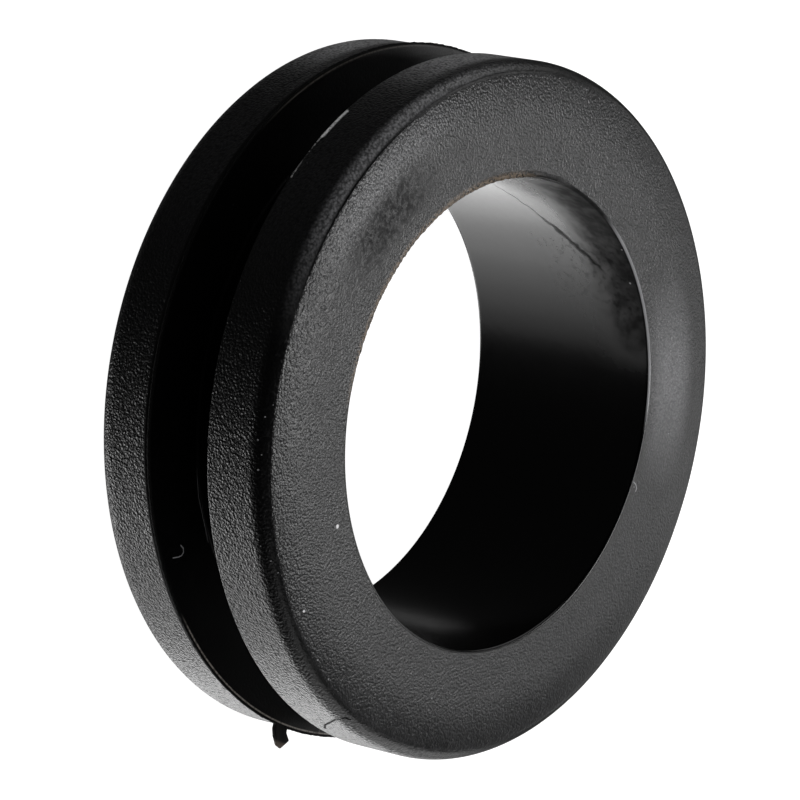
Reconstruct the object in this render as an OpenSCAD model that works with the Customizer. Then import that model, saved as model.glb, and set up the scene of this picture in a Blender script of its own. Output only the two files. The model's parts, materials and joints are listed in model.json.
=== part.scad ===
// Open rubber grommet: a soft moulded ring with a groove round its outside. It is pushed into a
// round hole in a panel, where the groove grips the panel's edge and the bore carries the cable.
// One solid, in millimetres. Z is the axis of the bore, and the ring lies on Z = 0 on its lower flange.

/* [Bore and hub] */
// Diameter of the bore that the cable passes through
bore_d = 20; // [8:0.5:40]
// Thickness of the rubber between the bore and the bottom of the groove
hub_wall = 2.05; // [1:0.05:5]
// Radius that takes the sharpness off both ends of the bore
bore_edge_r = 0.12; // [0.05:0.01:0.3]

/* [Groove] */
// Width of the groove, which is the thickest panel that it takes
groove_w = 3.1; // [1:0.1:8]
// Depth of the groove, from the rim of the flanges to the hub
groove_depth = 2.8; // [1.8:0.1:6]

/* [Flanges] */
// Thickness of each of the two flanges
flange_t = 3.2; // [2:0.1:6]
// Width of the flat ring on each outer face, from the bore outwards
flat_w = 2.2; // [0.5:0.1:3.5]
// How far the crowned outer part of each face lowers the shoulder
crown_drop = 0.17; // [0.05:0.01:0.6]
// Radius of the shoulder between the crown and the rim
shoulder_r = 0.77; // [0.3:0.01:1]

/* [Parting line] */
// How far the thin flash round the lower flange stands out from the rim
flash_w = 0.15; // [0.05:0.01:0.3]
// Thickness of the flash
flash_t = 0.1; // [0.05:0.01:0.3]
// How far the torn tab stands out from the flash
tab_len = 0.85; // [0.4:0.05:1.5]
// Width of the torn tab across its barb
tab_w = 1.15; // [0.6:0.05:2]
// Thickness of the torn tab
tab_t = 0.22; // [0.1:0.01:0.4]
// Direction of the torn tab, counter-clockwise from +X
tab_angle = -10; // [-180:1:180]

/* [Hidden] */
$fn = 160;

bore_r = bore_d / 2;
hub_r = bore_r + hub_wall;
rim_r = hub_r + groove_depth;
ring_h = 2 * flange_t + groove_w;

// The shoulder's arc ends upright at the rim
shoulder_x = rim_r - shoulder_r;
shoulder_y = shoulder_r + crown_drop;
// The crown's arc starts level with the flat ring and touches the shoulder's arc from outside
crown_x = bore_r + flat_w;
crown_run = shoulder_x - crown_x;
crown_r = shoulder_r + (pow(crown_run, 2) + pow(crown_drop, 2)) / (2 * crown_drop);
// Point where the two arcs meet
meet_x = crown_x + crown_r * crown_run / (crown_r - shoulder_r);
meet_y = crown_r - crown_r * (crown_r - shoulder_y) / (crown_r - shoulder_r);

// Half section of one flange: X is the radius, Y the depth below its outer face
module flange_section() {
    // body of the flange, with chords in place of its three arcs
    polygon([
        [bore_r, bore_edge_r],
        [bore_r + bore_edge_r, 0],
        [crown_x, 0],
        [meet_x, meet_y],
        [rim_r, shoulder_y],
        [rim_r, flange_t],
        [bore_r, flange_t]
    ]);
    // rounded end of the bore
    translate([bore_r + bore_edge_r, bore_edge_r]) circle(r = bore_edge_r);
    // rubber between the crown's arc and its chord
    intersection() {
        translate([crown_x, crown_r]) circle(r = crown_r);
        polygon([[crown_x, 0], [meet_x, 0], [meet_x, meet_y]]);
    }
    // rubber between the shoulder's arc and its chord
    intersection() {
        translate([shoulder_x, shoulder_y]) circle(r = shoulder_r);
        polygon([[meet_x, meet_y], [meet_x, 0], [rim_r, 0], [rim_r, shoulder_y]]);
    }
}

// Half section of the ring: a flange at each end of the hub, with the flash on the lower one
module ring_section() {
    flange_section();
    translate([0, ring_h]) mirror([0, 1]) flange_section();
    translate([bore_r, flange_t]) square([hub_wall, groove_w]);
    translate([rim_r, flange_t - flash_t]) square([flash_w, flash_t]);
}

// Torn remnant of the flash, standing out along +X: a broad root, a slanting point and one barb
module flash_tab() {
    root_x = rim_r - flash_w;
    edge_x = rim_r + flash_w;
    linear_extrude(tab_t)
        polygon([
            [root_x, -0.36 * tab_w],
            [edge_x + 0.2 * tab_len, -0.33 * tab_w],
            [edge_x + 0.6 * tab_len, -0.08 * tab_w],
            [edge_x + tab_len, 0.36 * tab_w],
            [edge_x + 0.47 * tab_len, 0.64 * tab_w],
            [edge_x + 0.35 * tab_len, 0.4 * tab_w],
            [root_x, 0.32 * tab_w]
        ]);
}

module grommet() {
    color([0.09, 0.09, 0.095]) {
        rotate_extrude() ring_section();
        rotate([0, 0, tab_angle]) translate([0, 0, flange_t - tab_t]) flash_tab();
    }
}

grommet();
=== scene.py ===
"""Black rubber grommet: camera, bench, lights and the ring's visible surface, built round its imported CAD
frame. Lengths are in millimetres until they go into Blender, which takes metres. Z is the axis of the
bore, and the ring lies on Z = 0."""

import json
import math

import bpy
import numpy as np
from mathutils import Matrix, Vector


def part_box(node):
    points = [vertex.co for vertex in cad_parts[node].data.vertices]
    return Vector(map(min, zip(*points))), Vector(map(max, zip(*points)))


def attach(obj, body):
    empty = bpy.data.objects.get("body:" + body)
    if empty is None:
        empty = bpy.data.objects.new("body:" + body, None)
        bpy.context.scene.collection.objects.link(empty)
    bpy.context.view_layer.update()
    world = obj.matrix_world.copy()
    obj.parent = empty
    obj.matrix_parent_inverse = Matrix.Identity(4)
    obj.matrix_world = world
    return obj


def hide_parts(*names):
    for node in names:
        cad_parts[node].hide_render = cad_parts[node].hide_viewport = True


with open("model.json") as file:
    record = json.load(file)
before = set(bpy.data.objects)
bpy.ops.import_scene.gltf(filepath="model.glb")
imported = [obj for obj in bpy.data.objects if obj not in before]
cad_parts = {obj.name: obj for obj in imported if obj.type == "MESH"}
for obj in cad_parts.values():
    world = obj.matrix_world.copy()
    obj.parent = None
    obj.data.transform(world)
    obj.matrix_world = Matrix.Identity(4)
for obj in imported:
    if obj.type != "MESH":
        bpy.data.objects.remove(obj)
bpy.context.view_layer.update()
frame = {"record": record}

# ---------------------------------------------------------------------------------------------
# Camera: stands off one side of the ring and looks down on its upper face through a long lens.
# It is rolled on its side, so that the ring seems to stand upright on its rim.
MM = 0.001
CAMERA_AIM = Vector((0.23, -0.40, 4.25))
CAMERA_DISTANCE = 219.06
CAMERA_AZIMUTH = -0.08
CAMERA_ELEVATION = 38.91
CAMERA_ROLL = 101.25
CAMERA_LENS = 232.4


def direction(azimuth, elevation):
    """Unit vector to a place in the sky: azimuth 0 is -Y and turns towards +X, in degrees."""
    a, e = math.radians(azimuth), math.radians(elevation)
    return Vector((math.sin(a) * math.cos(e), -math.cos(a) * math.cos(e), math.sin(e)))


camera = bpy.data.objects.new("camera", bpy.data.cameras.new("camera"))
bpy.context.scene.collection.objects.link(camera)
bpy.context.scene.camera = camera
towards = direction(CAMERA_AZIMUTH, CAMERA_ELEVATION)
turn = towards.to_track_quat("Z", "Y").to_matrix() @ Matrix.Rotation(math.radians(CAMERA_ROLL), 3, "Z")
camera.matrix_world = Matrix.Translation((CAMERA_AIM + towards * CAMERA_DISTANCE) * MM) @ turn.to_4x4()
camera.data.lens = CAMERA_LENS
camera.data.clip_start = 10 * MM
camera.data.clip_end = 10000 * MM

# ---------------------------------------------------------------------------------------------
# Bench: a plain white sheet that the ring lies on. The camera sees it glow an even white, and its matte
# part shows the ring's faint shadow. Only a small share of it is mirrored in gloss, and to other light it
# is clear, so that the lamps under it reach the ring.
BENCH_HALF = 3000
BENCH_WHITE = 0.99
BENCH_MATTE = (0.30, 0.30, 0.30, 1)
BENCH_IN_GLOSS = 0.02


def new_material(name):
    """An empty node material and its output node."""
    material = bpy.data.materials.new(name)
    material.use_nodes = True
    material.node_tree.nodes.clear()
    return material, material.node_tree.nodes.new("ShaderNodeOutputMaterial")


def node(tree, kind, **sockets):
    """A new node of that kind. Each keyword sets an attribute of the node, or else the input of that name,
    to a value or to the output socket of another node. _0, _1 and _2 are inputs by their place."""
    made = tree.nodes.new(kind)
    for name, value in sockets.items():
        if hasattr(made, name):
            setattr(made, name, value)
            continue
        socket = made.inputs[int(name[1:])] if name[0] == "_" else made.inputs[name.replace("_", " ")]
        if isinstance(value, bpy.types.NodeSocket):
            tree.links.new(value, socket)
        else:
            socket.default_value = value
    return made


bench_material, bench_out = new_material("bench_white")
tree = bench_material.node_tree
glow = node(tree, "ShaderNodeEmission", Color=(1, 1, 1, 1), Strength=BENCH_WHITE)
matte = node(tree, "ShaderNodeBsdfDiffuse", Color=BENCH_MATTE)
sheet = node(tree, "ShaderNodeAddShader", _0=glow.outputs[0], _1=matte.outputs[0])
clear = node(tree, "ShaderNodeBsdfTransparent")
path = node(tree, "ShaderNodeLightPath")
seen = node(
    tree,
    "ShaderNodeMath",
    operation="ADD",
    _0=path.outputs["Is Camera Ray"],
    _1=path.outputs["Is Transmission Ray"],
)
shown = node(
    tree,
    "ShaderNodeMath",
    operation="MULTIPLY_ADD",
    use_clamp=True,
    _0=path.outputs["Is Glossy Ray"],
    _1=BENCH_IN_GLOSS,
    _2=seen.outputs[0],
)
mix = node(tree, "ShaderNodeMixShader", _0=shown.outputs[0], _1=clear.outputs[0], _2=sheet.outputs[0])
tree.links.new(mix.outputs[0], bench_out.inputs["Surface"])

bench_mesh = bpy.data.meshes.new("bench")
corners = [(x * BENCH_HALF * MM, y * BENCH_HALF * MM, 0) for x, y in ((-1, -1), (1, -1), (1, 1), (-1, 1))]
bench_mesh.from_pydata(corners, [], [(0, 1, 2, 3)])
bench_mesh.materials.append(bench_material)
bench = bpy.data.objects.new("bench", bench_mesh)
bpy.context.scene.collection.objects.link(bench)

# ---------------------------------------------------------------------------------------------
# Lights: large soft lamps all round. The windows behind the ring are mirrored in its upper face, and
# the lamps beside the bench and under it in the shoulders, the rims and the bore, as a bright white
# surround would be. The two fill lamps aren't mirrored and only light what is pale, such as dust.
WORLD_LIGHT = 0.005
world = bpy.data.worlds.new("studio")
bpy.context.scene.world = world
world.use_nodes = True
world.node_tree.nodes["Background"].inputs["Color"].default_value = (1, 1, 1, 1)
world.node_tree.nodes["Background"].inputs["Strength"].default_value = WORLD_LIGHT


def softbox(name, azimuth, elevation, width, height, brightness, distance=400, mirrored=True):
    """A soft rectangular lamp in that direction, facing the ring. Its sizes and distance are in millimetres.
    Its power is brightness times pi times its area, so that at brightness 1 its face is as bright as white
    paper. A lamp that isn't mirrored is left out of every gloss."""
    lamp = bpy.data.lights.new(name, "AREA")
    lamp.shape = "RECTANGLE"
    lamp.size = width * MM
    lamp.size_y = height * MM
    lamp.energy = brightness * math.pi * width * height * MM * MM
    holder = bpy.data.objects.new(name, lamp)
    bpy.context.scene.collection.objects.link(holder)
    away = direction(azimuth, elevation)
    holder.location = away * distance * MM
    holder.rotation_euler = away.to_track_quat("Z", "Y").to_euler()
    holder.visible_glossy = mirrored


softbox("window_high", 189, 58, 104, 60, 9.3, 250)
softbox("window_low", 182, 30, 62, 54, 2.2, 250)
softbox("sill", 185, 10, 380, 90, 1.0)
softbox("side", 122, 8, 400, 280, 1.5)
softbox("side_front", 92, 42, 180, 160, 0.7)
softbox("left_strip", 245, 20, 300, 160, 1.3)
softbox("far_left", 223, -38, 66, 200, 0.25)
softbox("low_right", 131, -33, 220, 210, 3.4)
softbox("low_step_1", 99, -41, 180, 120, 0.75)
softbox("low_step_2", 90, -41, 240, 120, 0.6)
softbox("low_step_3", 82, -41, 300, 120, 0.6)
softbox("low_step_4", 76, -41, 390, 120, 0.72)
softbox("low_fade", 76, -25, 340, 100, 0.3)
softbox("low_deep", 80, -62, 200, 120, 5.5)
softbox("fill", 0, 60, 600, 600, 0.8, mirrored=False)
softbox("fill_back", 262, 22, 400, 300, 0.8, mirrored=False)

# ---------------------------------------------------------------------------------------------
# Ring: one soft rubber moulding, a hub with a flange at each end and the groove for the panel's
# edge between them. Its outer faces and rims take the fine grain of a spark-eroded mould; the bore
# and the groove are formed by a polished core and slides. Thin flash runs round the parting line.


def mount(name):
    """The record's mount of that name."""
    return next(m for m in frame["record"]["mounts"] if m["name"] == name)


# Sizes from the frame, then those that the record doesn't give
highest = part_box("grommet")[1]
bore_r = mount("bore")["dims"]["r_mm"]
hub_r = mount("panel_groove")["dims"]["r_mm"]
groove_w = mount("panel_groove")["dims"]["length_mm"]
ring_h = highest[2] / MM
flange_t = (ring_h - groove_w) / 2
GROOVE_DEPTH = 2.8
rim_r = hub_r + GROOVE_DEPTH
BORE_EDGE_R = 0.12
FLAT_W = 2.2
CROWN_DROP = 0.17
SHOULDER_R = 0.77
FILLET_R = 0.15
CORNER_R = 0.04
# Crease where the crown meets the shoulder: its place, width and depth
CREASE_R = 14.40
CREASE_W = 0.10
CREASE_DEPTH = 0.04
# Shallow lip round the bore: its distance from the bore's wall, and its depth
LIP_AWAY = 0.21
LIP_DEPTH = 0.025
# Flash on the lower flange's groove edge, and the depth of the fine notch under it in the rim
FLASH_W = 0.15
FLASH_T = 0.10
NOTCH = 0.08
# Finishes of the surface, in the order of the ring's material slots
FACE, RIM, BORE, GROOVE = range(4)


def arc(centre, radius, start, end, steps):
    """Points (radius, height) along an arc of the section, evenly spaced from one angle to the other."""
    t = np.radians(np.linspace(start, end, steps + 1))
    return np.column_stack([centre[0] + radius * np.cos(t), centre[1] + radius * np.sin(t)])


def line(start, end, steps):
    """Points evenly spaced from start to end, both included."""
    return np.linspace(start, end, steps + 1)


def outer_face(crown_steps, shoulder_steps):
    """Section of a flange's outer side as (radius, height over the face): over the flat, the crown and the
    shoulder to the rim. The crown's arc starts level and touches the shoulder's arc, so its radius is the
    shoulder's, plus the squares of its run and its drop together over twice the drop."""
    shoulder = (rim_r - SHOULDER_R, -SHOULDER_R - CROWN_DROP)
    crown_x = bore_r + FLAT_W
    run = shoulder[0] - crown_x
    crown_r = SHOULDER_R + (run**2 + CROWN_DROP**2) / (2 * CROWN_DROP)
    meet = math.degrees(math.atan2(run, crown_r - SHOULDER_R - CROWN_DROP))
    flat = line((bore_r + 0.35, 0), (crown_x, 0), 3)[:-1]
    crown = arc((crown_x, -crown_r), crown_r, 90, 90 - meet, crown_steps)[:-1]
    return np.vstack([flat, crown, arc(shoulder, SHOULDER_R, 90 - meet, 0, shoulder_steps)])


def section():
    """The closed section of the ring, once round: up the bore, over the upper face, into the groove and
    out of it, over the flash, and back under the lower face. Each row is radius, height, finish of the
    stretch that starts there, share of the flash's reach, drop through the flash's thickness, and shares
    of the crease, of the lip beside the bore and of the ragged fringe on the bore's edge. Straight
    stretches have a point close to each corner, so that the shading of the corner stays narrow."""
    top, bottom, edge = ring_h - flange_t, flange_t, BORE_EDGE_R
    over = outer_face(6, 18) + (0, ring_h)
    crease_r = CREASE_R + CREASE_W * np.array([-0.5, -0.2, 0, 0.2, 0.5])
    crease = np.column_stack([crease_r, np.interp(crease_r, over[:, 0], over[:, 1])])
    inside, outside = over[over[:, 0] < crease_r[0] - 0.01], over[over[:, 0] > crease_r[-1] + 0.01]
    under = (outer_face(4, 8) * (1, -1))[::-1]
    lip_r = bore_r + LIP_AWAY + np.array([-0.06, -0.02, 0, 0.02, 0.06])
    bore_z = np.array([edge, 0.2, 0.5, 2.0, 4.0, 6.0, 8.0, ring_h - 0.5, ring_h - 0.2])
    # Out and back round the flash as (share of its reach, drop in thicknesses), then the notch under it
    flash = [(0, 0), (0.3, 0), (0.6, 0), (0.85, 0), (0.97, -0.08), (1, -0.3), (1, -0.7), (0.96, -0.92)]
    flash += [(0.8, -1), (0.5, -1), (0, -1), (0, -1), (0, -1)]
    root = np.full((len(flash), 2), (rim_r, bottom))
    root[-3:] -= [(NOTCH, 0), (NOTCH, 0.05), (0, 0.13)]
    parts = [
        ("bore", np.column_stack([np.full(len(bore_z), bore_r), bore_z]), BORE),
        ("bore_edge", arc((bore_r + edge, ring_h - edge), edge, 180, 90, 6), BORE),
        ("lip", np.column_stack([lip_r, np.full(5, ring_h)]), FACE),
        ("crown", inside, FACE),
        ("crease", crease, RIM),
        ("shoulder", outside, RIM),
        ("upper_rim", line((rim_r, over[-1, 1] - 0.2), (rim_r, top + 0.1), 3), RIM),
        ("upper_corner", arc((rim_r - CORNER_R, top + CORNER_R), CORNER_R, 0, -90, 3), GROOVE),
        ("upper_wall", line((rim_r - 0.1, top), (hub_r + FILLET_R + 0.05, top), 3), GROOVE),
        ("upper_fillet", arc((hub_r + FILLET_R, top - FILLET_R), FILLET_R, 90, 180, 5), GROOVE),
        ("hub", line((hub_r, top - FILLET_R - 0.1), (hub_r, bottom + FILLET_R + 0.1), 2), GROOVE),
        ("lower_fillet", arc((hub_r + FILLET_R, bottom + FILLET_R), FILLET_R, 180, 270, 5), GROOVE),
        ("lower_wall", line((hub_r + FILLET_R + 0.05, bottom), (rim_r - 0.06, bottom), 4), GROOVE),
        ("flash", root, GROOVE),
        ("lower_rim", line((rim_r, bottom - 0.35), (rim_r, under[0, 1] + 0.2), 3), RIM),
        ("lower_shoulder", under[:9], RIM),
        ("lower_face", under[9:], FACE),
        ("lower_bore_edge", arc((bore_r + edge, edge), edge, 270, 180, 4)[:-1], BORE),
    ]
    starts = np.cumsum([0] + [len(points) for _, points, _ in parts])
    span = {name: slice(start, end) for (name, _, _), start, end in zip(parts, starts, starts[1:])}
    rows = np.zeros((starts[-1], 8))
    rows[:, :2] = np.vstack([points for _, points, _ in parts])
    rows[:, 2] = np.concatenate([np.full(len(points), finish) for _, points, finish in parts])
    rows[span["flash"], 3:5] = flash
    past_crown = slice(span["crease"].start, span["shoulder"].stop)
    rows[past_crown, 5] = np.interp(rows[past_crown, 0], (crease_r[0], CREASE_R, rim_r), (0, 1, 0))
    rows[span["lip"], 6] = (0, 0.75, 1, 0.75, 0)
    frayed = slice(span["bore_edge"].start - 1, span["bore_edge"].stop + 1)
    rows[frayed, 7] = (0.4, 0.8, 1, 1, 1, 1, 0.8, 0.5, 0.2)
    return rows


def wander(angle, seed, fewest, most):
    """A smooth wandering value round the ring: cosines with whole numbers of waves from fewest to most and
    random phases, scaled to lie between -1 and 1."""
    random = np.random.default_rng(seed)
    waves = np.arange(fewest, most + 1)
    phases = random.uniform(0, 2 * np.pi, len(waves))
    total = np.cos(waves[:, None] * angle + phases[:, None]).sum(0)
    return total / np.abs(total).max()


def window(value, start, end, soft):
    """1 between start and end, 0 outside them, with a straight ramp of width soft centred on each."""
    rise = (value - start) / soft + 0.5
    fall = (end - value) / soft + 0.5
    return np.clip(np.minimum(rise, fall), 0, 1)


# Columns of the mesh round the ring, and those of them that the stretch with the torn tab takes
COLUMNS = 780
TAB_COLUMNS = 90
# Torn tab of flash: its thickness, its direction and half the stretch that holds it, in degrees. Its torn
# edge is a chain of points. Each grows from its root, a place along the rim left or right of the tab's
# middle, and lies so far out from the rim and so far across the middle.
TAB_T = 0.20
TAB_ANGLE = -10.0
TAB_HALF = 2.6
TAB_ROOT = (-0.42, -0.39, -0.33, -0.24, -0.12, 0.06, 0.20, 0.27, 0.36)
TAB_OUT = (0.14, 0.35, 0.63, 0.93, 0.98, 0.57, 0.50, 0.34, 0.15)
TAB_ACROSS = (-0.42, -0.37, -0.17, 0.20, 0.48, 0.77, 0.43, 0.42, 0.36)
# Depth of the ragged fringe on the bore's upper edge
FRINGE = 0.07
# Where crease, lip and fringe show round the ring: from, to and the width of the faded ends, in degrees
CREASE_SPAN = (188, 246, 16)
CREASE_FAINT_SPAN = (180, 330, 24)
LIP_SPAN = (170, 208, 14)
FRINGE_SPAN = (190, 268, 12)


def ring_surface():
    """Every column is the section turned to that column's angle. The flash reaches out by a ragged share of
    its width. Over the tab its edge is carried out to the torn outline instead, it thickens, and it droops
    by the square of its reach: a point of the flash lies its share of the way from the rim to that edge.
    The crease, the lip and the ragged fringe on the bore's upper edge each show over one part of the ring
    and fade at its ends."""
    tab = np.linspace(TAB_ANGLE - TAB_HALF, TAB_ANGLE + TAB_HALF, TAB_COLUMNS + 1)
    rest = np.linspace(TAB_ANGLE + TAB_HALF, TAB_ANGLE - TAB_HALF + 360, COLUMNS - TAB_COLUMNS + 1)
    degrees = np.concatenate([tab[:-1], rest[:-1]])
    angle = np.radians(degrees)
    radius, height, finish, share, drop, crease, lip, fringe = section().T

    out = FLASH_W * (0.76 + 0.10 * wander(angle, 3, 20, 120) + 0.14 * wander(angle, 4, 120, 300))
    across = rim_r * np.radians(degrees - TAB_ANGLE)
    torn = (across > TAB_ROOT[0]) & (across < TAB_ROOT[-1])
    out = np.where(torn, np.interp(across, TAB_ROOT, TAB_OUT), out)
    across = np.where(torn, np.interp(across, TAB_ROOT, TAB_ACROSS), 0)
    lean = np.where(torn, np.radians(TAB_ANGLE), angle)
    edge_x = (rim_r + out) * np.cos(lean) - across * np.sin(lean)
    edge_y = (rim_r + out) * np.sin(lean) + across * np.cos(lean)

    full_turn = (degrees + 360) % 360
    crease_share = 0.9 * window(full_turn, *CREASE_SPAN) + 0.1 * window(full_turn, *CREASE_FAINT_SPAN)
    crease_depth = CREASE_DEPTH * crease_share
    lip_depth = LIP_DEPTH * window(full_turn, *LIP_SPAN)
    jagged = np.clip(0.35 + 0.5 * wander(angle, 7, 90, 240) + 0.35 * wander(angle, 8, 20, 60), 0, 1)
    jagged = jagged * window(full_turn, *FRINGE_SPAN) * FRINGE
    r = radius + np.outer(wander(angle, 5, 3, 30) * 0.012, crease) - np.outer(jagged, fringe)
    x = r * np.cos(angle)[:, None] * (1 - share) + np.outer(edge_x, share)
    y = r * np.sin(angle)[:, None] * (1 - share) + np.outer(edge_y, share)
    thickness = FLASH_T + (TAB_T - FLASH_T) * window(degrees, TAB_ANGLE - 1.9, TAB_ANGLE + 1.9, 0.8)
    droop = np.where(torn, 0.12 * (out - FLASH_W) ** 2, 0)
    z = height + np.outer(thickness, drop) - np.outer(droop, share)
    z = z - np.outer(crease_depth, crease) - np.outer(lip_depth, lip)
    return np.stack([x, y, z], axis=2), finish


def grid_mesh(name, points, materials, row_material):
    """A closed mesh from a grid of points that wraps both ways, with its faces outwards where the section
    runs up the bore and the columns run counter-clockwise. Each row of faces takes its own material."""
    columns_n, rows_n = points.shape[:2]
    mesh = bpy.data.meshes.new(name)
    i, j = np.meshgrid(np.arange(columns_n), np.arange(rows_n), indexing="ij")
    right, up = (i + 1) % columns_n, (j + 1) % rows_n
    quads = np.stack([i * rows_n + j, i * rows_n + up, right * rows_n + up, right * rows_n + j], axis=2)
    mesh.vertices.add(columns_n * rows_n)
    mesh.vertices.foreach_set("co", (points * MM).astype(np.float32).ravel())
    mesh.loops.add(quads.size)
    mesh.loops.foreach_set("vertex_index", quads.astype(np.int32).ravel())
    mesh.polygons.add(columns_n * rows_n)
    mesh.polygons.foreach_set("loop_start", np.arange(0, quads.size, 4, dtype=np.int32))
    mesh.polygons.foreach_set("material_index", row_material[j].astype(np.int32).ravel())
    mesh.polygons.foreach_set("use_smooth", np.ones(columns_n * rows_n, bool))
    for material in materials:
        mesh.materials.append(material)
    mesh.update(calc_edges=True)
    mesh.validate()
    made = bpy.data.objects.new(name, mesh)
    bpy.context.scene.collection.objects.link(made)
    return made


class Signal:
    """A number that changes over the surface. Sums, products and ramps of signals become shader nodes."""

    def __init__(self, socket):
        self.socket = socket
        self.tree = socket.node.id_data

    def math(self, operation, *others):
        """The result of a Math node on this signal and the others, which are signals or plain numbers."""
        made = self.tree.nodes.new("ShaderNodeMath")
        made.operation = operation
        for place, value in zip(made.inputs, (self, *others)):
            if isinstance(value, Signal):
                self.tree.links.new(value.socket, place)
            else:
                place.default_value = value
        return Signal(made.outputs[0])

    def __add__(self, other):
        return self.math("ADD", other)

    def __sub__(self, other):
        return self.math("SUBTRACT", other)

    def __mul__(self, other):
        return self.math("MULTIPLY", other)

    def strongest(self, other):
        """The larger of the two at each point."""
        return self.math("MAXIMUM", other)

    def ramp(self, nothing, full):
        """0 at one value and 1 at the other, with a smooth step between them."""
        made = node(self.tree, "ShaderNodeMapRange", interpolation_type="SMOOTHSTEP", Value=self.socket)
        made.inputs["From Min"].default_value = nothing
        made.inputs["From Max"].default_value = full
        return Signal(made.outputs[0])

    def between(self, start, end, soft):
        """1 from start to end and 0 outside them, with smooth steps of that width."""
        rise = self.ramp(start - soft / 2, start + soft / 2)
        return rise * self.ramp(end + soft / 2, end - soft / 2)


def new_group(name, inputs, outputs):
    """An empty shader node group with those named inputs and outputs, and its two end nodes."""
    group = bpy.data.node_groups.new(name, "ShaderNodeTree")
    for label, start in inputs.items():
        kind = "NodeSocketVector" if start is None else "NodeSocketFloat"
        socket = group.interface.new_socket(label, in_out="INPUT", socket_type=kind)
        if start is not None:
            socket.default_value = start
    for label, kind in outputs.items():
        group.interface.new_socket(label, in_out="OUTPUT", socket_type="NodeSocket" + kind)
    return group, group.nodes.new("NodeGroupInput"), group.nodes.new("NodeGroupOutput")


def ring_place_group():
    """From Object coordinates in metres: the place in millimetres, the angle round the ring in degrees
    (arctangent of y over x), the distance from the axis and the height above the bench."""
    outputs = {"Millimetres": "Vector", "Angle": "Float", "Radius": "Float", "Height": "Float"}
    group, inside, out = new_group("ring_place", {"Place": None}, outputs)
    place = inside.outputs["Place"]
    scaled = node(group, "ShaderNodeVectorMath", operation="SCALE", _0=place, Scale=1 / MM)
    split = node(group, "ShaderNodeSeparateXYZ", Vector=scaled.outputs[0])
    x, y = Signal(split.outputs["X"]), Signal(split.outputs["Y"])
    group.links.new(scaled.outputs[0], out.inputs["Millimetres"])
    group.links.new((y.math("ARCTAN2", x) * (180 / math.pi)).socket, out.inputs["Angle"])
    group.links.new((x * x + y * y).math("SQRT").socket, out.inputs["Radius"])
    group.links.new(split.outputs["Z"], out.inputs["Height"])
    return group


def grain_group():
    """Spark-eroded grain: Height is a noise of the size of one Cell, less the distance to scattered centres
    about one Cell apart, which makes rounded pebbles. Pits is 1 in the creases where pebbles meet."""
    outputs = {"Height": "Float", "Pits": "Float"}
    group, inside, out = new_group("mould_grain", {"Place": None, "Cell": 0.2}, outputs)
    place = inside.outputs["Place"]
    rate = Signal(inside.outputs["Cell"]).math("POWER", -1.0)
    pebbles = node(group, "ShaderNodeTexVoronoi", Vector=place, Scale=rate.socket)
    noise = node(group, "ShaderNodeTexNoise", Vector=place, Scale=rate.socket, Detail=1.0)
    distance = Signal(pebbles.outputs["Distance"])
    height = Signal(noise.outputs[0]) * 1.2 - distance
    group.links.new(height.socket, out.inputs["Height"])
    group.links.new(distance.ramp(0.5, 0.9).socket, out.inputs["Pits"])
    return group


def patches_group():
    """Soft patches about one Size across, from a noise: the mask is 0 where the noise is under Low and 1
    where it is over High."""
    inputs = {"Place": None, "Size": 1.0, "Low": 0.4, "High": 0.6}
    group, inside, out = new_group("soft_patches", inputs, {"Mask": "Float"})
    place = inside.outputs["Place"]
    rate = Signal(inside.outputs["Size"]).math("POWER", -1.0)
    noise = node(group, "ShaderNodeTexNoise", Vector=place, Scale=rate.socket, Detail=2.0)
    fall = node(group, "ShaderNodeMapRange", interpolation_type="SMOOTHSTEP", Value=noise.outputs[0])
    group.links.new(inside.outputs["Low"], fall.inputs["From Min"])
    group.links.new(inside.outputs["High"], fall.inputs["From Max"])
    group.links.new(fall.outputs[0], out.inputs["Mask"])
    return group


def flecks_group():
    """Pale flecks, for dust and for painted glints on the grain: one centre in each cell of the given
    Spacing, of which only the given Share carries a fleck of that Size. The mask is 1 at its middle and
    falls to 0 at its edge."""
    inputs = {"Place": None, "Spacing": 0.6, "Size": 0.04, "Share": 0.3}
    group, inside, out = new_group("dust_flecks", inputs, {"Mask": "Float"})
    spacing = Signal(inside.outputs["Spacing"])
    centres = node(group, "ShaderNodeTexVoronoi", Vector=inside.outputs["Place"])
    group.links.new(spacing.math("POWER", -1.0).socket, centres.inputs["Scale"])
    chance = node(group, "ShaderNodeSeparateColor", Color=centres.outputs["Color"])
    size = Signal(inside.outputs["Size"]) * Signal(chance.outputs["Green"])
    near = (size - Signal(centres.outputs["Distance"]) * spacing) * 60.0
    chosen = Signal(chance.outputs["Red"]).math("LESS_THAN", Signal(inside.outputs["Share"]))
    mask = near.math("MINIMUM", 1.0).strongest(0.0) * chosen
    group.links.new(mask.socket, out.inputs["Mask"])
    return group


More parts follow.
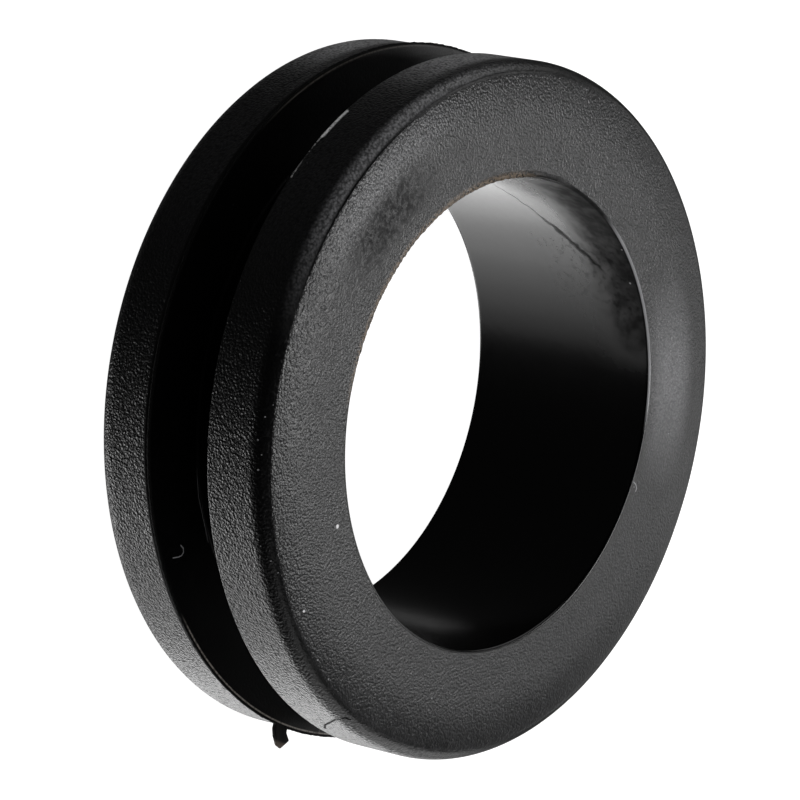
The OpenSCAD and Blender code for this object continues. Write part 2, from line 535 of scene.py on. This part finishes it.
def stroke_group():
    """A straight stroke from Start to End in millimetres, drawn round-ended and Width wide: the mask falls
    with the distance from the nearest point of the stroke."""
    inputs = {"Place": None, "Start": None, "End": None, "Width": 0.06}
    group, inside, out = new_group("stroke", inputs, {"Mask": "Float"})

    def vector(operation, a, b):
        """A Vector Math node on two vectors."""
        return node(group, "ShaderNodeVectorMath", operation=operation, _0=a, _1=b)

    run = vector("SUBTRACT", inside.outputs["End"], inside.outputs["Start"]).outputs[0]
    away = vector("SUBTRACT", inside.outputs["Place"], inside.outputs["Start"]).outputs[0]
    along = Signal(vector("DOT_PRODUCT", away, run).outputs["Value"])
    whole = Signal(vector("DOT_PRODUCT", run, run).outputs["Value"])
    share = along.math("DIVIDE", whole + 1e-6).math("MINIMUM", 1.0).strongest(0.0)
    nearest = node(group, "ShaderNodeVectorMath", operation="SCALE", _0=run, Scale=share.socket)
    gap = Signal(vector("DISTANCE", away, nearest.outputs[0]).outputs["Value"])
    half = Signal(inside.outputs["Width"]) * 0.5
    mask = (half * 1.4 - gap).math("DIVIDE", half * 0.8).math("MINIMUM", 1.0).strongest(0.0)
    group.links.new(mask.socket, out.inputs["Mask"])
    return group


def spot_group():
    """A round spot: 1 within Size of its Centre, in millimetres, less a soft edge."""
    inputs = {"Place": None, "Centre": None, "Size": 0.05}
    group, inside, out = new_group("spot", inputs, {"Mask": "Float"})
    ends = {"_0": inside.outputs["Place"], "_1": inside.outputs["Centre"]}
    gap = node(group, "ShaderNodeVectorMath", operation="DISTANCE", **ends)
    mask = ((Signal(inside.outputs["Size"]) - Signal(gap.outputs["Value"])) * 40.0).math("MINIMUM", 1.0)
    group.links.new(mask.strongest(0.0).socket, out.inputs["Mask"])
    return group


ring_place = ring_place_group()
mould_grain = grain_group()
soft_patches = patches_group()
dust_flecks = flecks_group()
stroke = stroke_group()
spot = spot_group()


def on_ring(radius, angle, height):
    """The place at that radius, angle and height, in millimetres."""
    return radius * math.cos(math.radians(angle)), radius * math.sin(math.radians(angle)), height


class Rubber:
    """A rubber material under way: its shader, the place on the ring (millimetres, angle, radius and
    height), and the base colour with the marks laid over it so far."""

    def __init__(self, name, colour):
        self.material, out = new_material(name)
        self.tree = self.material.node_tree
        on_object = node(self.tree, "ShaderNodeTexCoord").outputs["Object"]
        place = node(self.tree, "ShaderNodeGroup", node_tree=ring_place, Place=on_object)
        self.place = place.outputs["Millimetres"]
        self.angle = Signal(place.outputs["Angle"])
        self.radius = Signal(place.outputs["Radius"])
        self.height = Signal(place.outputs["Height"])
        self.colour = colour
        self.shader = node(self.tree, "ShaderNodeBsdfPrincipled", Base_Color=colour)
        self.tree.links.new(self.shader.outputs[0], out.inputs["Surface"])

    def effect(self, group, output="Mask", **values):
        """One of the node groups, placed at the surface point and given its values."""
        made = node(self.tree, "ShaderNodeGroup", node_tree=group, Place=self.place, **values)
        return Signal(made.outputs[output])

    def drawn(self, width, *ends):
        """A drawn line through places on the ring, each given as (radius, angle, height)."""
        mask = None
        for start, end in zip(ends, ends[1:]):
            part = self.effect(stroke, Start=on_ring(*start), End=on_ring(*end), Width=width)
            mask = mask.strongest(part) if mask else part
        return mask

    def spots(self, colour, *places):
        """Round spots of one colour, each given as (size, radius, angle, height)."""
        for size, *place in places:
            self.tint(self.effect(spot, Centre=on_ring(*place), Size=size), colour)

    def tint(self, mask, colour):
        """Lay a colour over the base colour where the mask is 1."""
        made = self.tree.nodes.new("ShaderNodeMix")
        made.data_type = "RGBA"
        self.tree.links.new(mask.socket, made.inputs[0])
        for place, value in ((made.inputs[6], self.colour), (made.inputs[7], colour)):
            if isinstance(value, bpy.types.NodeSocket):
                self.tree.links.new(value, place)
            else:
                place.default_value = value
        self.colour = made.outputs[2]
        self.tree.links.new(self.colour, self.shader.inputs["Base Color"])

    def relief(self, height, depth):
        """Raise the surface by the height signal, of which 1 stands for that depth in millimetres."""
        bump = node(self.tree, "ShaderNodeBump", Distance=depth * MM, Height=height.socket)
        self.tree.links.new(bump.outputs[0], self.shader.inputs["Normal"])

    def gloss(self, roughness):
        """Let the roughness follow a signal."""
        self.tree.links.new(roughness.socket, self.shader.inputs["Roughness"])


# Rubber as the grained mould and the polished core left it
MOULDED = (0.0015, 0.0015, 0.0017, 1)
POLISHED = (0.0008, 0.0008, 0.0009, 1)
# Dark marks and painted shade, bright and faint dust and painted glints and highlights, and the tan colour
# on the bore's ragged edge
SOOT_AND_PAINTED_SHADE = (0.0008, 0.0008, 0.0008, 1)
DUST = (0.85, 0.85, 0.86, 1)
FAINT = (0.30, 0.30, 0.31, 1)
TAN = (0.16, 0.12, 0.085, 1)
# Pale bloom on the rubber with painted highlights, a stronger painted highlight on the far rims, and a
# painted glint along an edge
BLOOM_AND_PAINTED_HIGHLIGHT = (0.29, 0.29, 0.30, 1)
RIM_PAINTED_HIGHLIGHT = (0.46, 0.46, 0.47, 1)
PAINTED_GLINT = (1, 1, 1, 1)
# Thin brownish rubber along the root of the flash with a painted highlight, and the brown tip of the torn
# tab
FLASH_LINE_AND_HIGHLIGHT = (0.34, 0.31, 0.28, 1)
TORN_TIP = (0.10, 0.08, 0.065, 1)
# Where the tan colour lies on the bore's edge: from, to and the width of the faded ends, in degrees
TAN_EDGE_SPAN = (-172, -88, 14)


def face_rubber():
    """Outer faces: fine dull grain, which is smoother on one side. A greasy patch beside the bore is rougher
    and so looks darker. Pale bloom lies on the grain's peaks, with painted highlights on the outer crown and
    on the flat beside the bore. Dust and lint lie on the rubber, and a tan colour along the bore's ragged
    edge."""
    rubber = Rubber("rubber_face", MOULDED)
    grain = rubber.effect(mould_grain, "Height", Cell=0.11)
    smoother = rubber.angle.between(-45, 95, 50) * 0.35 + rubber.angle.between(25, 100, 40) * 0.25
    rubber.relief(grain * (smoother * -1.0 + 1.0), 0.0165)
    mottled = rubber.effect(soft_patches, Size=1.4, Low=0.35, High=0.68)
    greasy = rubber.effect(soft_patches, Size=0.2, Low=0.42, High=0.62) + 0.4
    worn = rubber.angle.between(-136, -113, 14) * rubber.radius.between(11.1, 12.9, 1.0) * greasy
    rubber.gloss(mottled * 0.04 + worn * 0.28 + 0.31)

    # Painted highlights: pale colour on the grain's peaks over the outer crown and over the flat beside the
    # bore stands for light caught there; elsewhere a faint bloom lies on the peaks.
    peaks = grain.ramp(-0.35, 0.7)
    on_crown = rubber.angle.between(-146, -112, 26) * rubber.radius.between(12.9, 14.3, 1.2)
    on_flat = rubber.angle.between(90, 120, 30) * rubber.radius.between(10.4, 12.9, 1.6)
    bloom_and_highlight = (on_crown * 0.6).strongest(0.1) * (peaks * 0.8 + 0.1)
    rubber.tint(bloom_and_highlight.strongest(on_flat * (peaks * 0.3 + 0.35)), BLOOM_AND_PAINTED_HIGHLIGHT)

    rubber.tint(rubber.effect(dust_flecks, Spacing=0.6, Size=0.05, Share=0.06), FAINT)
    rubber.spots(DUST, (0.10, 10.9, -58.3, ring_h), (0.07, 13.8, -47.5, ring_h - 0.11))
    rubber.spots(FAINT, (0.05, 14.15, -37.6, ring_h - 0.17), (0.05, 14.2, -32.9, ring_h - 0.18))
    rubber.spots(FAINT, (0.05, 12.2, -4.6, ring_h), (0.04, 10.3, 79, ring_h))
    lint = rubber.drawn(
        0.05,
        (bore_r + 0.12, 80.1, ring_h),
        (bore_r + 0.36, 79.8, ring_h),
        (bore_r + 0.52, 79.0, ring_h),
        (bore_r + 0.50, 78.2, ring_h),
    )
    rubber.tint(lint, FAINT)
    # Tan colour in patches along the bore's ragged upper edge.
    tan_patches = rubber.effect(soft_patches, Size=0.12, Low=0.40, High=0.55)
    fringe = rubber.radius.ramp(bore_r + 0.36, bore_r + 0.15) * tan_patches
    rubber.tint(fringe * rubber.angle.between(*TAN_EDGE_SPAN), TAN)
    return rubber.material


def rim_rubber():
    """Shoulders and rims: coarser grain with dull pits between its pebbles, which fades out towards the
    face. Painted highlights lie beside the crease and on the far rims, a hair, dust and painted glints on
    the shoulder, and a painted glint along the groove-side edge of the upper flange."""
    rubber = Rubber("rubber_rim", MOULDED)
    grain = node(rubber.tree, "ShaderNodeGroup", node_tree=mould_grain, Place=rubber.place, Cell=0.12)
    height = Signal(grain.outputs["Height"])
    pits = Signal(grain.outputs["Pits"])
    hair = rubber.drawn(
        0.08,
        (rim_r, -17, 6.9),
        (rim_r, -19.4, 7.35),
        (14.84, -23.4, 8.6),
        (14.67, -23.5, 9.06),
        (14.6, -22.4, 9.12),
    )
    near_face = rubber.radius.ramp(rim_r - 0.15, rim_r - 0.40)
    rubber.gloss(pits * 0.2 + hair * 0.6 - near_face * 0.07 + 0.35)
    coarse = rubber.radius.ramp(rim_r - 0.35, rim_r) * 0.7 + 0.3
    rubber.relief(height * coarse + hair * 1.2, 0.028)

    # Painted highlights: pale colour on the pebbles beside the crease and on the far rims stands for light
    # caught there at a grazing angle.
    pebbled = height.ramp(-0.4, 0.6) * 0.75 + 0.15
    beside_crease = rubber.radius.between(CREASE_R + 0.04, rim_r - 0.05, 0.16)
    beside_crease = beside_crease * rubber.angle.between(-158, -110, 34)
    rubber.tint(beside_crease * pebbled * 0.6, BLOOM_AND_PAINTED_HIGHLIGHT)
    lower_band = rubber.height.between(0.6, 2.3, 0.6)
    upper_band = rubber.height.between(ring_h - 3.3, ring_h - 1.3, 0.8)
    far_side = rubber.angle.math("ABSOLUTE").between(153, 190, 18)
    rubber.tint(lower_band.strongest(upper_band) * far_side * pebbled, RIM_PAINTED_HIGHLIGHT)

    # Pale flecks and spots on the shoulder and rim: dust, and painted glints where the grain catches the
    # light in the dark band.
    rubber.tint(rubber.effect(dust_flecks, Spacing=0.5, Size=0.05, Share=0.12), FAINT)
    rubber.spots(FAINT, (0.045, 14.77, -78.8, 8.9), (0.035, 14.67, -76.5, 9.05))
    rubber.spots(FAINT, (0.05, 14.74, -74.1, 8.95), (0.03, 14.45, -84.5, 9.24))
    rubber.spots(FAINT, (0.04, 14.65, -82.5, 9.07), (0.04, 14.6, -58.9, 9.12))
    rubber.spots(FAINT, (0.035, 14.45, -56.6, 9.24))
    rubber.spots(FAINT, (0.04, rim_r, -75.8, 6.7), (0.04, rim_r, -48, 7.8))
    rubber.tint(hair, SOOT_AND_PAINTED_SHADE)

    # Painted glint: a white streak along the groove-side edge of the upper flange, where the sharp edge
    # catches the light.
    edge = flange_t + groove_w + 0.08
    glint_streak = rubber.drawn(0.23, (rim_r, -137, edge), (rim_r, -130.7, edge))
    thin = rubber.drawn(0.07, (rim_r, -130, edge), (rim_r, -121.5, edge))
    uneven = rubber.effect(soft_patches, Size=0.14, Low=0.40, High=0.50)
    rubber.tint((glint_streak * (uneven * 0.4 + 0.6)).strongest(thin * uneven * 0.5), PAINTED_GLINT)
    return rubber.material


def bore_rubber():
    """Bore: the wall a polished core left, a little less reflective than the grained rubber. The seam where
    two streams of rubber met climbs it: at t degrees from its foot it stands 4.5 + 0.07 t + 0.0015 t squared
    high. Dull smoky smudges lie near the upper edge, and a painted highlight lies pale along the far edge."""
    rubber = Rubber("rubber_bore", POLISHED)
    rubber.shader.inputs["Specular IOR Level"].default_value = 0.4
    uneven = rubber.effect(soft_patches, Size=0.35, Low=0.3, High=0.7)
    from_foot = rubber.angle * -1.0 + 162.5
    seam_height = from_foot * (from_foot * 0.0015 + 0.070) + uneven * 0.15 + 4.5
    off = (rubber.height - seam_height).math("ABSOLUTE")
    wide = rubber.angle.between(134, 149, 8)
    thick = wide * 0.12 + 0.10
    seam = (thick - off).math("DIVIDE", thick).strongest(0.0)
    seam = seam * rubber.angle.between(134, 163, 5) * (wide * 0.6 + 0.4)
    rubber.relief(uneven * 0.04 - seam * 0.4, 0.02)

    smoky = rubber.effect(soft_patches, Size=0.7, Low=0.2, High=0.8) * 0.5 + 0.5
    cloudy = rubber.height.ramp(6.2, 9.2) * rubber.angle.between(111, 173, 12) * smoky
    smudged = rubber.effect(soft_patches, Size=0.3, Low=0.48, High=0.72)
    smudged = smudged * rubber.height.ramp(2.5, 7.5) * rubber.angle.between(120, 145, 12)
    rubber.gloss(uneven * 0.02 + cloudy * 0.75 + smudged * 0.16 + seam * 0.45 + 0.22)

    rubber.spots(FAINT, (0.06, bore_r, 131.4, 9.1), (0.05, bore_r, 142.3, 9.35))
    rubber.spots(SOOT_AND_PAINTED_SHADE, (0.09, bore_r, 126.9, 8.1), (0.07, bore_r, 116.2, 5.3), (0.06, bore_r, 129.3, 5.5))
    # Tan colour in patches along the bore's ragged upper edge.
    fringe = rubber.height.ramp(ring_h - 0.22, ring_h - 0.10) * rubber.angle.between(*TAN_EDGE_SPAN)
    tan_patches = rubber.effect(soft_patches, Size=0.12, Low=0.35, High=0.55)
    rubber.tint(fringe * tan_patches, TAN)
    # Painted highlight: the rounded far edge of the bore is coloured pale where it catches the light.
    painted_edge_highlight = rubber.radius.ramp(bore_r + 0.02, bore_r + 0.04) * rubber.angle.between(97, 150, 12)
    rubber.tint(painted_edge_highlight, FAINT)
    return rubber.material


def groove_rubber():
    """Groove and flash: the smooth wall that the mould's slides left, with lint on the lower wall and a
    painted glint along its corner at the hub. The thin flash is dull, and painted black for the shade along
    it. Beside it a brownish line of thin rubber has a painted highlight where it catches the light, and the
    torn tab has a brown tip."""
    rubber = Rubber("rubber_groove", POLISHED)
    uneven = rubber.effect(soft_patches, Size=0.14, Low=0.40, High=0.50)
    rubber.relief(uneven, 0.002)
    lint = rubber.drawn(
        0.045,
        (14.28, -54.2, flange_t),
        (14.0, -53.7, flange_t),
        (13.8, -53.5, flange_t),
        (13.65, -53.8, flange_t),
        (13.6, -54.5, flange_t),
        (13.7, -55.3, flange_t),
    )
    # Painted glint: a thin pale line on the lower wall beside the hub, where the corner catches the light.
    fillet_glint = rubber.drawn(0.03, (12.13, -68, flange_t), (12.2, -62, flange_t), (12.2, -52, flange_t))
    rubber.tint(lint.strongest(fillet_glint * 0.5), FAINT)
    rubber.tint(rubber.effect(dust_flecks, Spacing=0.7, Size=0.05, Share=0.06) * 0.5, FAINT)

    flash = rubber.radius.ramp(rim_r, rim_r + 0.02)
    rubber.gloss(flash * 0.6 + 0.32)
    # Painted highlight: the brownish line is coloured only over the stretches where it catches the light.
    line_lit = rubber.angle.between(-42, 6, 6).strongest(rubber.angle.between(-172, -136, 16) * 0.2)
    thin = rubber.radius.between(rim_r - 0.06, rim_r, 0.03)
    thin = thin * rubber.height.ramp(flange_t - 0.10, flange_t - 0.05)
    rubber.tint(thin * line_lit * (uneven * 0.6 + 0.4), FLASH_LINE_AND_HIGHLIGHT)
    # Painted shade: the flash is coloured darker still, for the shade along it.
    rubber.tint(flash, SOOT_AND_PAINTED_SHADE)
    rubber.tint(rubber.radius.ramp(rim_r + 0.65, rim_r + 0.85), TORN_TIP)
    return rubber.material


finishes = [face_rubber(), rim_rubber(), bore_rubber(), groove_rubber()]
surface, row_finish = ring_surface()
ring = grid_mesh("grommet_ring", surface, finishes, row_finish.astype(int))
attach(ring, "root")
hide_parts("grommet")

# ---------------------------------------------------------------------------------------------
# View: colours are shown as they are.
bpy.context.scene.view_settings.view_transform = "Standard"
